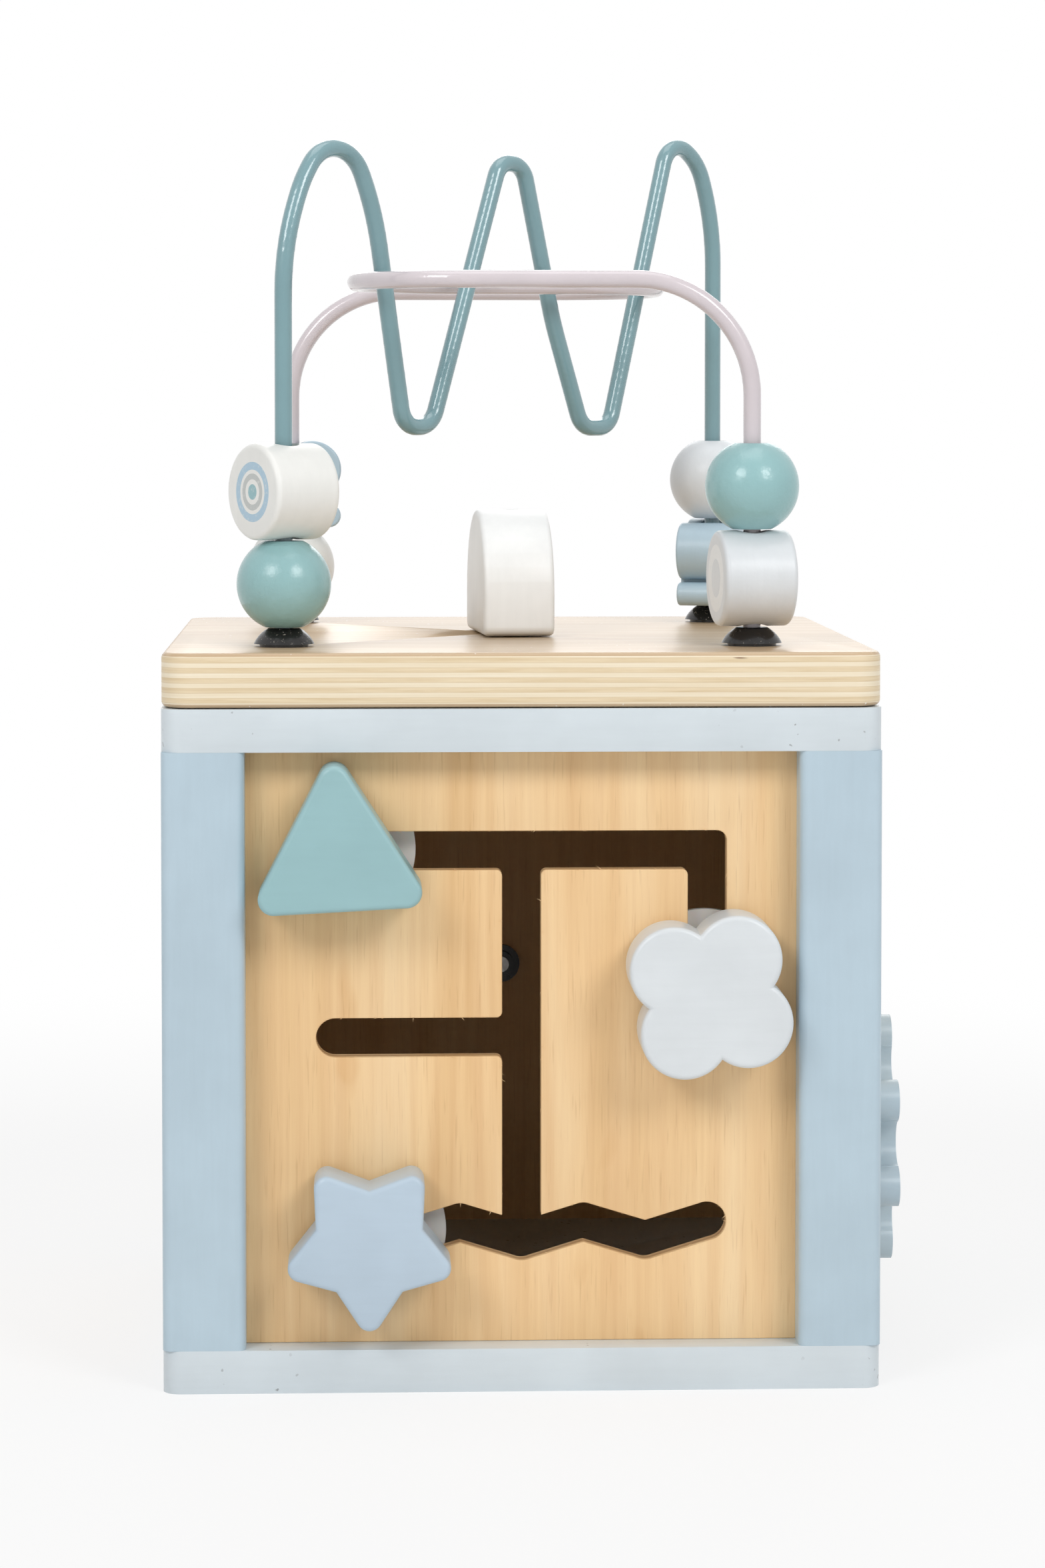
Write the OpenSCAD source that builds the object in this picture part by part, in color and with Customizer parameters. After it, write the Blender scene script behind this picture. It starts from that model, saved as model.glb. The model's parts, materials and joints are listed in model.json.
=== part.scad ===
// Wooden activity cube: a slot maze on the front, gears on the right, a clock on the back,
// and a lift-off lid that carries two bead wires and a turning arch block.
// Millimetres. +Z is up, the maze faces -Y, and the origin is the middle of the base's underside.

/* [Box] */
// Width and depth of the cube
cube_w = 200; // [194:1:230]
// Height from the floor to the top of the top frame
box_h = 190.4; // [180:0.2:240]
// Thickness of the base and of the top frame
board_t = 12; // [9:0.5:15]
// Corner radius of the base and of the top frame
board_corner = 5; // [2:0.5:10]
// Side of a corner post
post_w = 23; // [20:0.5:26]
// Radius along a post's upright edges
post_edge = 2.4; // [1:0.1:4]
// Thickness of a side panel
panel_t = 6; // [4:0.5:7]
// How far a panel's face sits back from the posts
panel_set = 10; // [8:0.5:11]
// How far a panel's edge reaches into a post's groove
groove_d = 4.5; // [3:0.5:5]

/* [Lid] */
// Thickness of the plywood lid
lid_t = 15.2; // [12:0.2:18]
// Corner radius of the lid
lid_corner = 8; // [4:0.5:12]
// Radius along the lid's edges
lid_edge = 1.6; // [0.8:0.1:3]
// Thickness of the board under the lid that drops into the top frame
plug_t = 9; // [6:0.5:11]
// Width of the top frame's rails
rail_w = 26; // [25:0.5:30]

/* [Maze] */
// Distance from the outer slots' middles to the posts
maze_edge = 25; // [24:0.1:30]
// Distance from the top slot's middle to the top frame
maze_head = 28.4; // [28:0.1:34]
// Distance from the zigzag's crests to the base
maze_foot = 33.4; // [30:0.1:38]
// Width of a slot
slot_w = 10.9; // [10:0.1:11.4]
// Fall from a crest to a valley of the zigzag slot
zig_rise = 5.3; // [3:0.1:7]
// How far the clover's slot reaches down from the top row
clover_drop = 39; // [30:0.5:42]
// Radius of the slots' corners
slot_ease = 1.6; // [0.8:0.1:2.4]

/* [Knobs] */
// Thickness of the sliding knobs
knob_t = 18; // [12:0.5:20]
// Air between a knob and the panel
knob_gap = 1.5; // [1:0.1:2]
// Radius along the knobs' edges
knob_edge = 1.5; // [0.8:0.1:2.5]
// Width of the triangle
tri_w = 45.2; // [38:0.1:45.4]
// Radius of the triangle's corners
tri_corner = 4.4; // [3:0.1:6]
// Lean of the triangle in its slot, in degrees
tri_lean = 3; // [-8:0.5:8]
// Reach of the clover's lobes from its middle
clover_r = 25; // [20:0.1:25]
// Radius of one clover lobe
clover_lobe = 12.4; // [9:0.1:12.8]
// Turn of the clover, in degrees
clover_turn = 10; // [0:1:44]
// Reach of the star's points from its middle
star_r = 23.5; // [20:0.1:24]
// Radius of a star point
star_tip = 3.6; // [2.5:0.1:4.5]
// Radius of the star's middle
star_core = 14.6; // [12:0.1:16]
// Radius of the disc behind the panel
disc_r = 21.6; // [16:0.2:22]
// Thickness of that disc
disc_t = 2.5; // [2:0.1:3.5]
// Pin of a slider that a knob turns on
pivot_d = 8; // [6:0.1:8.4]

/* [Gears] */
// Number of lobes on each gear
lobes = 8; // [7:1:9]
// Pitch radius, where the two gears roll on each other
gear_r = 32; // [29:0.1:33]
// Thickness of a gear
gear_t = 18; // [14:0.5:20]
// Height of the gears' axles
gear_z = 60.2; // [56:0.2:70]
// Lobe angle of the front gear, in degrees
gear_phase = 154; // [0:1:359]
// Air between the lobes and the hollows they roll in
mesh_gap = 0.6; // [0.4:0.05:1.2]

/* [Clock] */
// Length of the minute hand from the axle
minute_len = 58; // [40:1:64]
// Length of the hour hand from the axle
hour_len = 40; // [28:1:46]
// Width of the hands
hand_w = 11; // [9:0.5:14]
// Thickness of a hand
hand_t = 3.4; // [2.5:0.1:3.6]
// Angle of the minute hand from twelve, in degrees
minute_turn = 60; // [0:6:354]
// Angle of the hour hand from twelve, in degrees
hour_turn = 305; // [0:1:359]

/* [Bead wires] */
// Diameter of the painted wires
wire_d = 5; // [4:0.1:5.6]
// Distance of the wires' feet from the lid's edges
foot_set = 33.5; // [32:0.5:38]
// Height of the looped wire above the lid
loop_h = 104; // [98:1:120]
// Bend radius of the looped wire's legs
loop_bend = 33; // [20:0.5:34]
// How far the loops reach out from the middle
loop_reach = 46; // [44:0.5:48]
// Height of the wave wire above the lid, as a share of its drawn height
wave_scale = 1; // [0.97:0.01:1.1]
// Diameter of the domed bushes at the feet
bush_d = 17.2; // [15:0.2:19]
// Height of the bushes
bush_h = 5.2; // [4:0.1:6]

/* [Beads] */
// Diameter of the balls
ball_d = 26.8; // [24:0.2:28]
// Height of the balls between their flat ends
ball_h = 24.4; // [22:0.2:25]
// Diameter of the drums
drum_d = 27.3; // [25:0.1:28]
// Length of the drums
drum_l = 21; // [18:0.5:24]
// Height of the clouds
cloud_h = 27; // [24:0.2:28]
// Thickness of the clouds
cloud_t = 17; // [14:0.5:19]
// Diameter of the holes through the beads
bead_bore = 9; // [7:0.1:9.4]
// Radius along the drums' edges
drum_edge = 1.5; // [0.8:0.1:2.2]
// Radius along the clouds' edges
cloud_edge = 0.8; // [0.5:0.1:1.6]

/* [Arch block] */
// Width of the arch block
arch_w = 50; // [40:1:56]
// Height of the arch block
arch_h = 37; // [32:0.5:44]
// Thickness of the arch block
arch_t = 21; // [18:0.5:28]
// Turn of the arch block about its pin, in degrees
arch_turn = 4.5; // [-20:0.5:20]
// Diameter of the arch block's pin
arch_pin_d = 5; // [4:0.1:6]

/* [Fittings] */
// Diameter of the bolts that the gears and hands turn on
bolt_d = 5; // [4:0.1:6]
// Diameter of the bolts' heads
bolt_head = 12; // [10:0.5:13]
// Diameter of the wood screws
screw_d = 4; // [3.5:0.1:5]
// Radial clearance of a turning fit
run_fit = 0.05; // [0.02:0.01:0.09]
// Clearance where fixed pieces meet
snug = 0.05; // [0.02:0.01:0.1]
// Gap between pieces that move past each other
part_gap = 0.3; // [0.2:0.05:0.5]

/* [Hidden] */
$fn = 64;
over = 1;
half = cube_w / 2;
frame_z = box_h - board_t;
panel_h = frame_z - board_t;
panel_z = board_t + panel_h / 2;
post_in = half - post_w;
panel_out = half - panel_set;
panel_in = panel_out - panel_t;
panel_half = post_in + groove_d;
lid_z = box_h + part_gap;
lid_top = lid_z + lid_t;
frame_open = half - rail_w;
plug_half = frame_open - part_gap * 2;
foot = half - foot_set;
arc_step = 7.5;
edge_step = 15;
coarse_step = 30;
coarse_fn = 30;

// Maze: columns at -pitch, 0 and +pitch, rows at the same pitch
maze_pitch = post_in - maze_edge;
row_top = frame_z - maze_head;
zig_top = board_t + maze_foot;
row_mid = (row_top + zig_top) / 2;
zig_low = zig_top - zig_rise;
zig_run = maze_pitch / 3;
slot_r = slot_w / 2;
turn_r = slot_ease * 1.8;
zig_shy = 0.06;
clover_low = row_top - clover_drop;

// Knobs at rest
knob_back = panel_out + knob_gap;
tri_side = tri_w - tri_corner * 2;
tri_reach = tri_side / sqrt(3) + tri_corner;
tri_at = [-(post_in - tri_reach - part_gap * 1.6), row_top];
clover_at = [min(maze_pitch, post_in - clover_r - part_gap), clover_low];
star_share = 0.54;
star_at = [-maze_pitch + zig_run * star_share, zig_top - zig_rise * star_share];
pivot_len = knob_t * 0.6;
collar_d = slot_w - 1.1;
collar_gap = knob_gap - part_gap;
retain_d = 3.4;
retain_head_d = 7.5;
retain_head_t = 2.4;
retain_len = knob_t * 0.8;

// Gears
half_pitch = 180 / lobes;
land = 0.06;
tooth_chord = 2 * gear_r * sin(half_pitch / 2);
lobe_r = (tooth_chord - land - mesh_gap) / 2;
hollow_r = lobe_r + mesh_gap;
gear_back = panel_out + knob_gap;
gear_face = gear_back + gear_t;
gear_phase_rear = 180 + half_pitch - gear_phase;
sink_d = bolt_head + 3;
sink_t = 4.6;
bolt_head_t = 3;
spacer_d = 14;
washer_d = 12;
washer_t = 3;
washer_step_d = 8;
bolt_tail = 1.4;

// Clock
hand_z = panel_z;
hand_gap = 0.4;
hour_at = panel_out + knob_gap - hand_gap;
minute_at = hour_at + hand_t + hand_gap;
clock_head_at = minute_at + hand_t + part_gap;

// Bead stacks, from the lid upward
stack_z = lid_top + bush_h + part_gap;
ball_first_z = stack_z + ball_h / 2;
drum_first_z = stack_z + drum_d / 2;
cloud_first_z = stack_z + cloud_h / 2;
on_ball = stack_z + ball_h + part_gap;
on_drum = stack_z + drum_d + part_gap;
on_cloud = stack_z + cloud_h + part_gap;
wire_hole = wire_d + snug * 2;
wire_low = lid_z - plug_t - 3;
cap_d = 11;
cap_t = 4;
bush_rim = 0.8;
bush_ball = bush_d * 0.55;
step = 0.01;
lap = 0.3;

// Turn of the drums and clouds about their wires
drum_turn_fl = 56;
drum_turn_fr = 82;
cloud_turn_bl = 2;
cloud_turn_br = 74;
cloud_flush = 0.1;

// Arch block
arch_z = lid_top + part_gap;
arch_corner = 3;
arch_in = arch_w / 2 - arch_corner;
arch_step = 10;
pin_sunk = 1.2;
pin_deep = lid_t * 0.7;

// Wood screws
screw_len = 40;
screw_head_d = screw_d * 2;
screw_head_t = screw_d * 0.55;
screw_at = half - post_w / 2;

// Corners of the wave wire: share of the half span, height above the lid, bend radius
wave = [
  [-1, 113, 70],
  [-0.92, 132, 40],
  [-0.76, 153, 12],
  [-0.61, 124, 80],
  [-0.485, 62, 6.2],
  [-0.36, 62, 7.4],
  [-0.05, 140.5, 6],
  [0.06, 140.5, 6.4],
  [0.2, 94, 90],
  [0.34, 61.5, 6.5],
  [0.475, 61.5, 6.5],
  [0.775, 152.5, 7.4],
  [0.92, 144.5, 16.6],
  [1, 126, 70]
];

sea = [0.69, 0.78, 0.85];
mist = [0.81, 0.85, 0.88];
teal = [0.60, 0.77, 0.78];
pearl = [0.89, 0.91, 0.92];
sky = [0.75, 0.82, 0.88];
birch = [0.91, 0.78, 0.58];
white = [0.96, 0.96, 0.94];
wire_teal = [0.47, 0.63, 0.66];
wire_rose = [0.83, 0.78, 0.80];
black = [0.10, 0.10, 0.11];
steel = [0.72, 0.72, 0.72];
milk = [0.90, 0.91, 0.91];
cloud_blue = [0.55, 0.65, 0.74];

// Shapes that repeat

// Outline of a rectangle with round corners, from its half sizes
function round_rect(hx, hy, r) = [
  for (c = [[1, 1, 0], [-1, 1, 90], [-1, -1, 180], [1, -1, 270]])
    for (a = [0 : arc_step : 90])
      [c[0] * (hx - r) + r * cos(c[2] + a), c[1] * (hy - r) + r * sin(c[2] + a)]
];

// Flat board with round upright corners
module board(hx, hy, t, r)
  linear_extrude(t)
    polygon(round_rect(hx, hy, r));

// Disc standing on z = 0 with rounded rims
module puck(r, t, e, turn_step = edge_step)
  rotate_extrude()
    polygon(concat(
      [[0, 0]],
      [for (a = [-90 : turn_step : 0]) [r - e + e * cos(a), e + e * sin(a)]],
      [for (a = [0 : turn_step : 90]) [r - e + e * cos(a), t - e + e * sin(a)]],
      [[0, t]]
    ));

// Straight slot or bar with round ends, flat in XY; its sides can stay shy of its ends' width
module run2d(a, b, w, round_ends = undef, shy = 0) {
  v = b - a;
  translate(a)
    rotate(atan2(v.y, v.x))
      translate([0, shy / 2 - w / 2])
        square([norm(v), w - shy]);
  for (p = is_undef(round_ends) ? [a, b] : round_ends)
    translate(p)
      circle(d = w);
}

// Stands a shape drawn in XY upright, with its thickness toward -Y
module to_front()
  rotate([90, 0, 0])
    children();

// Turns a shape drawn along +Z to point along +X, with its drawn Y kept
module to_right()
  rotate([0, 90, 0])
    children();

// The four corners of the plan
module at_corners(d)
  for (x = [-d, d], y = [-d, d])
    translate([x, y, 0])
      children();

function unit(v) = v / norm(v);
function dir(p, i) = unit(p[i + 1] - p[i]);
function turn(p, i) = acos(dir(p, i - 1) * dir(p, i));
function cut(p, r, i) = i == 0 || i == len(p) - 1 ? 0 : r[i] * tan(turn(p, i) / 2);

// Bent rod: straight lengths and true round bends along the corners p, with bend radii r
module bent_rod(p, r, d) {
  for (i = [0 : len(p) - 2]) {
    v = dir(p, i);
    lead_in = i == 0 ? 0 : lap;
    lead_out = i == len(p) - 2 ? 0 : lap;
    a = p[i] + v * (cut(p, r, i) - lead_in);
    b = p[i + 1] - v * (cut(p, r, i + 1) - lead_out);
    translate(a)
      rotate([0, acos(v.z), atan2(v.y, v.x)])
        cylinder(d = d - step * 2, h = norm(b - a));
  }
  for (i = [1 : len(p) - 2]) {
    y = dir(p, i - 1);
    x = -unit(dir(p, i) - y * (dir(p, i) * y));
    z = cross(x, y);
    c = p[i] - y * cut(p, r, i) - x * r[i];
    multmatrix([
      [x.x, y.x, z.x, c.x],
      [x.y, y.y, z.y, c.y],
      [x.z, y.z, z.z, c.z]
    ])
      rotate_extrude(angle = turn(p, i))
        translate([r[i], 0])
          circle(d = d);
  }
}

// Wood screw with a countersunk head, tip toward +Z, head's face at z = 0
module wood_screw() {
  cylinder(d1 = screw_head_d, d2 = screw_d, h = screw_head_t);
  cylinder(d = screw_d, h = screw_len);
}

// Hole for a wood screw
module screw_hole() {
  translate([0, 0, -snug])
    cylinder(d1 = screw_head_d + snug * 4, d2 = screw_d + snug * 2, h = screw_head_t + snug * 2);
  translate([0, 0, -over])
    cylinder(d = screw_d + snug * 2, h = screw_len + over + snug);
}

// Bolt along +Z: domed head on top, its underside at z = 0, shank of length n below
module bolt(n) {
  difference() {
    translate([0, 0, bolt_head_t - bolt_head])
      sphere(r = bolt_head);
    translate([0, 0, -bolt_head * 2])
      cylinder(r = bolt_head * 2, h = bolt_head * 2);
    difference() {
      cylinder(r = bolt_head * 2, h = bolt_head);
      cylinder(d = bolt_head, h = bolt_head);
    }
  }
  translate([0, 0, -n])
    cylinder(d = bolt_d, h = n + over / 2);
}

// Stepped plastic washer that clips on a bolt's tail, wide face at z = 0, reaching to -Z
module clip_washer()
  difference() {
    union() {
      translate([0, 0, -washer_t / 2])
        cylinder(d = washer_d, h = washer_t / 2);
      translate([0, 0, -washer_t])
        cylinder(d = washer_step_d, h = washer_t);
    }
    translate([0, 0, -washer_t - over])
      cylinder(d = bolt_d + snug * 2, h = washer_t + over * 2);
  }

// Thin spacer between a panel and what turns on it, standing on z = 0
module spacer(t)
  difference() {
    cylinder(d = spacer_d, h = t);
    translate([0, 0, -over])
      cylinder(d = bolt_d + snug * 2, h = t + over * 2);
  }

// Places a drawing in the gears' plane: +Z outward along +X, at y along the side
module on_right(y, x)
  translate([x, y, gear_z])
    to_right()
      rotate(90)
        children();

// Places a drawing on the clock's axle: +Z outward along +Y
module on_back(y)
  translate([0, y, hand_z])
    rotate([-90, 0, 0])
      children();

// Places a drawing on the maze's plane: +Z outward along -Y, at [x, z]
module on_front(at, y)
  translate([at.x, -y, at.y])
    to_front()
      children();

// Box

module base()
  color(mist)
    difference() {
      board(half, half, board_t, board_corner);
      at_corners(screw_at)
        screw_hole();
    }

module top_frame()
  color(mist)
    difference() {
      translate([0, 0, frame_z])
        board(half, half, board_t, board_corner);
      translate([0, 0, frame_z - over])
        board(frame_open, frame_open, board_t + over * 2, lid_corner);
      at_corners(screw_at)
        translate([0, 0, box_h])
          mirror([0, 0, 1])
            screw_hole();
    }

// Post in the corner sx, sy, grooved for two panels
module post(sx, sy)
  color(sea)
    difference() {
      translate([sx * (half - post_w / 2), sy * (half - post_w / 2), board_t])
        board(post_w / 2, post_w / 2, panel_h, post_edge);
      translate([sx * post_in, sy * (panel_out + panel_in) / 2, panel_z])
        cube([groove_d * 2 + snug * 2, panel_t + snug * 2, panel_h + over * 2], center = true);
      translate([sx * (panel_out + panel_in) / 2, sy * post_in, panel_z])
        cube([panel_t + snug * 2, groove_d * 2 + snug * 2, panel_h + over * 2], center = true);
      translate([sx * screw_at, sy * screw_at, 0])
        screw_hole();
      translate([sx * screw_at, sy * screw_at, box_h])
        mirror([0, 0, 1])
          screw_hole();
    }

module post_front_left() post(-1, -1);
module post_front_right() post(1, -1);
module post_back_left() post(-1, 1);
module post_back_right() post(1, 1);

module base_screws()
  color(steel)
    at_corners(screw_at)
      wood_screw();

module frame_screws()
  color(steel)
    at_corners(screw_at)
      translate([0, 0, box_h])
        mirror([0, 0, 1])
          wood_screw();

// Blank side panel in the front's place, drawn in X and Z
module blank()
  translate([-panel_half, -panel_out, board_t])
    cube([panel_half * 2, panel_t, panel_h]);

// Rounds a corner of the wood where two slots meet
module corner_ease(x, z, sx, sz)
  translate([x, z])
    scale([sx, sz])
      difference() {
        translate([-step, -step])
          square(slot_ease + step);
        translate([slot_ease, slot_ease])
          circle(r = slot_ease);
      }

// All slots of the maze, drawn in X and Z
module maze2d() {
  top_left = [-maze_pitch, row_top];
  turn_at = [maze_pitch + slot_r - turn_r, row_top + slot_r - turn_r];
  right_low = [maze_pitch, clover_low];
  run2d(top_left, [turn_at.x, row_top], slot_w, [top_left]);
  run2d([maze_pitch, turn_at.y], right_low, slot_w, [right_low]);
  translate(turn_at)
    circle(r = turn_r);
  run2d([0, row_top], [0, zig_low], slot_w);
  run2d([-maze_pitch, row_mid], [0, row_mid], slot_w);
  for (i = [-3 : 2])
    run2d(
      [i * zig_run, i % 2 == 0 ? zig_low : zig_top],
      [(i + 1) * zig_run, i % 2 == 0 ? zig_top : zig_low],
      slot_w,
      shy = zig_shy
    );
  corner_ease(slot_r, row_top - slot_r, 1, -1);
  corner_ease(-slot_r, row_top - slot_r, -1, -1);
  corner_ease(maze_pitch - slot_r, row_top - slot_r, -1, -1);
  corner_ease(-slot_r, row_mid + slot_r, -1, 1);
  corner_ease(-slot_r, row_mid - slot_r, -1, -1);
}

module panel_front()
  color(birch)
    difference() {
      blank();
      translate([0, -panel_in + over, 0])
        to_front()
          linear_extrude(panel_t + over * 2)
            maze2d();
    }

module panel_left()
  color(birch)
    rotate(-90)
      blank();

module panel_right()
  color(birch)
    difference() {
      rotate(90)
        blank();
      for (y = [-gear_r, gear_r])
        on_right(y, panel_in - over)
          cylinder(d = bolt_d + snug * 2, h = panel_t + over * 2);
    }

module panel_back()
  color(birch)
    difference() {
      rotate(180)
        blank();
      on_back(panel_in - over)
        cylinder(d = bolt_d + snug * 2, h = panel_t + over * 2);
    }

// Maze sliders and knobs

// Disc behind the panel, a collar in the slot and a pivot pin for the knob
module slider(at)
  color(milk)
    difference() {
      union() {
        on_front(at, panel_in - part_gap * 2 - disc_t)
          cylinder(r = disc_r, h = disc_t);
        on_front(at, panel_in - part_gap * 2 - disc_t / 2)
          cylinder(d = collar_d, h = panel_t + part_gap * 2 + disc_t / 2 + collar_gap);
        on_front(at, panel_in)
          cylinder(d = pivot_d, h = panel_t + knob_gap + pivot_len);
      }
      on_front(at, panel_in - disc_t * 2)
        cylinder(d = retain_d + run_fit * 2, h = panel_t + knob_gap + pivot_len + disc_t * 3);
    }

// Screw from behind the disc, through the slider and into the knob
module retainer(at)
  color(steel) {
    on_front(at, panel_in - part_gap * 3 - disc_t - retain_head_t)
      cylinder(d = retain_head_d, h = retain_head_t);
    on_front(at, panel_in - part_gap * 3 - disc_t - retain_head_t / 2)
      cylinder(
        d = retain_d,
        h = panel_t + knob_gap + retain_len + part_gap * 3 + disc_t + retain_head_t / 2
      );
  }

// Hole in a knob for the slider's pin and the screw beyond it
module pivot_hole() {
  translate([0, 0, -over])
    cylinder(d = pivot_d + run_fit * 2, h = pivot_len + part_gap + over);
  cylinder(d = retain_d + snug, h = retain_len + snug);
}

module slider_triangle() slider(tri_at);
module slider_clover() slider(clover_at);
module slider_star() slider(star_at);
module screw_triangle() retainer(tri_at);
module screw_clover() retainer(clover_at);
module screw_star() retainer(star_at);

module knob_triangle()
  color(teal)
    on_front(tri_at, knob_back)
      difference() {
        hull()
          for (i = [0 : 2])
            rotate(90 + tri_lean + i * 120)
              translate([tri_side / sqrt(3), 0, 0])
                puck(tri_corner, knob_t, knob_edge);
        pivot_hole();
      }

module knob_clover()
  color(pearl)
    on_front(clover_at, knob_back)
      difference() {
        union() {
          for (i = [0 : 3])
            rotate(45 + clover_turn + i * 90)
              translate([clover_r - clover_lobe, 0, 0])
                puck(clover_lobe, knob_t, knob_edge);
          rotate(clover_turn)
            translate([0, 0, knob_t / 2])
              cube([clover_lobe * 1.5, clover_lobe * 1.5, knob_t], center = true);
        }
        pivot_hole();
      }

module knob_star()
  color(sky)
    on_front(star_at, knob_back)
      difference() {
        union()
          for (i = [0 : 4])
            hull() {
              puck(star_core, knob_t, knob_edge, coarse_step, $fn = coarse_fn);
              rotate(-90 + i * 72)
                translate([star_r - star_tip, 0, 0])
                  puck(star_tip, knob_t, knob_edge, coarse_step, $fn = coarse_fn);
            }
        pivot_hole();
      }

// Gears

module gear2d(phase)
  difference() {
    union() {
      circle(r = gear_r);
      for (i = [0 : lobes - 1])
        rotate(phase + i * half_pitch * 2)
          translate([gear_r, 0])
            circle(r = lobe_r);
    }
    for (i = [0 : lobes - 1])
      rotate(phase + half_pitch + i * half_pitch * 2)
        translate([gear_r, 0])
          circle(r = hollow_r);
  }

module gear(y, phase)
  on_right(y, gear_back)
    difference() {
      linear_extrude(gear_t)
        gear2d(phase);
      translate([0, 0, -over])
        cylinder(d = bolt_d + run_fit * 2, h = gear_t + over * 2);
      translate([0, 0, gear_t - sink_t])
        cylinder(d = sink_d, h = sink_t + over);
    }

module gear_front()
  color(sky)
    gear(-gear_r, gear_phase);

module gear_rear()
  color(teal)
    gear(gear_r, gear_phase_rear);

module gear_bolts()
  color(steel)
    for (y = [-gear_r, gear_r])
      on_right(y, gear_face - sink_t + part_gap)
        bolt(gear_face - sink_t + part_gap - panel_in + washer_t + bolt_tail);

module gear_washers()
  color(black)
    for (y = [-gear_r, gear_r])
      on_right(y, panel_in)
        clip_washer();

module gear_spacers()
  color(black)
    for (y = [-gear_r, gear_r])
      on_right(y, panel_out)
        spacer(knob_gap - part_gap);

// Clock

module hand(y, n, a)
  on_back(y)
    rotate(a - 90)
      difference() {
        linear_extrude(hand_t)
          run2d([0, 0], [n - hand_w / 2, 0], hand_w);
        translate([0, 0, -over])
          cylinder(d = bolt_d + run_fit * 2, h = hand_t + over * 2);
      }

module hand_hour()
  color(teal)
    hand(hour_at, hour_len, hour_turn);

module hand_minute()
  color(sea)
    hand(minute_at, minute_len, minute_turn);

module clock_bolt()
  color(steel)
    on_back(clock_head_at)
      bolt(clock_head_at - panel_in + washer_t + bolt_tail);

module clock_washer()
  color(black)
    on_back(panel_in)
      clip_washer();

module clock_spacer()
  color(black)
    on_back(panel_out)
      spacer(hour_at - panel_out - part_gap);

// Lid and bead wires

module foot_holes(d)
  at_corners(foot)
    cylinder(d = d, h = box_h * 2);

module lid()
  color(birch)
    difference() {
      hull()
        at_corners(half - lid_corner)
          translate([0, 0, lid_z])
            puck(lid_corner, lid_t, lid_edge);
      foot_holes(wire_hole);
      translate([0, 0, lid_top - pin_deep])
        cylinder(d = arch_pin_d + snug * 2, h = lid_t);
    }

module lid_plug()
  color(birch)
    difference() {
      translate([0, 0, lid_z - plug_t])
        board(plug_half, plug_half, plug_t, lid_corner);
      foot_holes(wire_hole);
    }

span = foot * sqrt(2);

module wire_wave()
  color(wire_teal) {
    ends = [[-foot, -foot, wire_low], [foot, foot, wire_low]];
    mids = [
      for (w = wave)
        [w[0] * span / sqrt(2), w[0] * span / sqrt(2), lid_top + w[1] * wave_scale]
    ];
    bent_rod(
      concat([ends[0]], mids, [ends[1]]),
      concat([0], [for (w = wave) w[2]], [0]),
      wire_d
    );
  }

module wire_loop()
  color(wire_rose) {
    z = lid_top + loop_h;
    u_bend = foot / 2 - lap;
    bent_rod(
      [
        [foot, -foot, wire_low], [foot, -foot, z],
        [-loop_reach, -foot, z], [-loop_reach, 0, z],
        [loop_reach, 0, z], [loop_reach, foot, z],
        [-foot, foot, z], [-foot, foot, wire_low]
      ],
      [0, loop_bend, u_bend, u_bend, u_bend, u_bend, loop_bend, 0],
      wire_d
    );
  }

module wire_bushes()
  color(black)
    at_corners(foot)
      translate([0, 0, lid_top])
        difference() {
          union() {
            cylinder(d = bush_d - bush_rim * 4, h = bush_rim * 2);
            intersection() {
              translate([0, 0, bush_rim - sqrt(pow(bush_ball, 2) - pow(bush_d / 2, 2))])
                sphere(r = bush_ball);
              translate([0, 0, bush_rim])
                cylinder(d = bush_d + over, h = bush_h - bush_rim);
            }
          }
          translate([0, 0, -over])
            cylinder(d = wire_hole, h = bush_h + over * 2);
        }

module wire_caps()
  color(black)
    at_corners(foot)
      translate([0, 0, lid_z - plug_t - cap_t])
        difference() {
          cylinder(d = cap_d, h = cap_t);
          translate([0, 0, over])
            cylinder(d = wire_hole, h = cap_t);
        }

// Beads

module bead_hole(z)
  translate([0, 0, z - drum_d])
    cylinder(d = bead_bore, h = drum_d * 2);

// Ball with flat ends on a wire foot, at the height z
module ball(x, y, z)
  translate([x, y, 0])
    difference() {
      intersection() {
        translate([0, 0, z])
          sphere(d = ball_d);
        translate([0, 0, z - ball_h / 2])
          cylinder(d = ball_d + over, h = ball_h);
      }
      bead_hole(z);
    }

// Drum lying across a wire foot, its printed end turned a degrees from the front to the left
module drum(x, y, z, a)
  translate([x, y, 0])
    difference() {
      translate([0, 0, z])
        rotate(-a)
          rotate([90, 0, 0])
            translate([0, 0, -drum_l / 2])
              puck(drum_d / 2, drum_l, drum_edge);
      bead_hole(z);
    }

// Cloud on a flat foot, across a wire: two wide lobes, the right one higher, over two small ones
module cloud(x, y, z, a) {
  foot_r = cloud_h * 0.135;
  foot_out = cloud_h * 0.43;
  left_r = cloud_h * 0.33;
  left_out = cloud_h * 0.29;
  right_r = cloud_h * 0.33;
  right_out = cloud_h * 0.24;
  dip = cloud_h * 0.08;
  translate([x, y, 0])
    difference() {
      translate([0, 0, z - cloud_h / 2])
        rotate(a)
          rotate([90, 0, 0])
            translate([0, 0, -cloud_t / 2]) {
              for (s = [-1, 1])
                translate([s * foot_out, foot_r, 0])
                  puck(foot_r, cloud_t, cloud_edge);
              translate([-left_out, cloud_h - left_r - dip / 2, 0])
                puck(left_r, cloud_t, cloud_edge);
              translate([right_out, cloud_h - right_r, 0])
                puck(right_r, cloud_t, cloud_edge);
              translate([-left_out, 0, cloud_flush])
                cube([left_out + right_out, cloud_h - dip, cloud_t - cloud_flush * 2]);
              translate([-foot_out, 0, cloud_edge])
                cube([foot_out * 2, foot_r * 2, cloud_t - cloud_edge * 2]);
            }
      bead_hole(z);
    }
}

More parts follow.
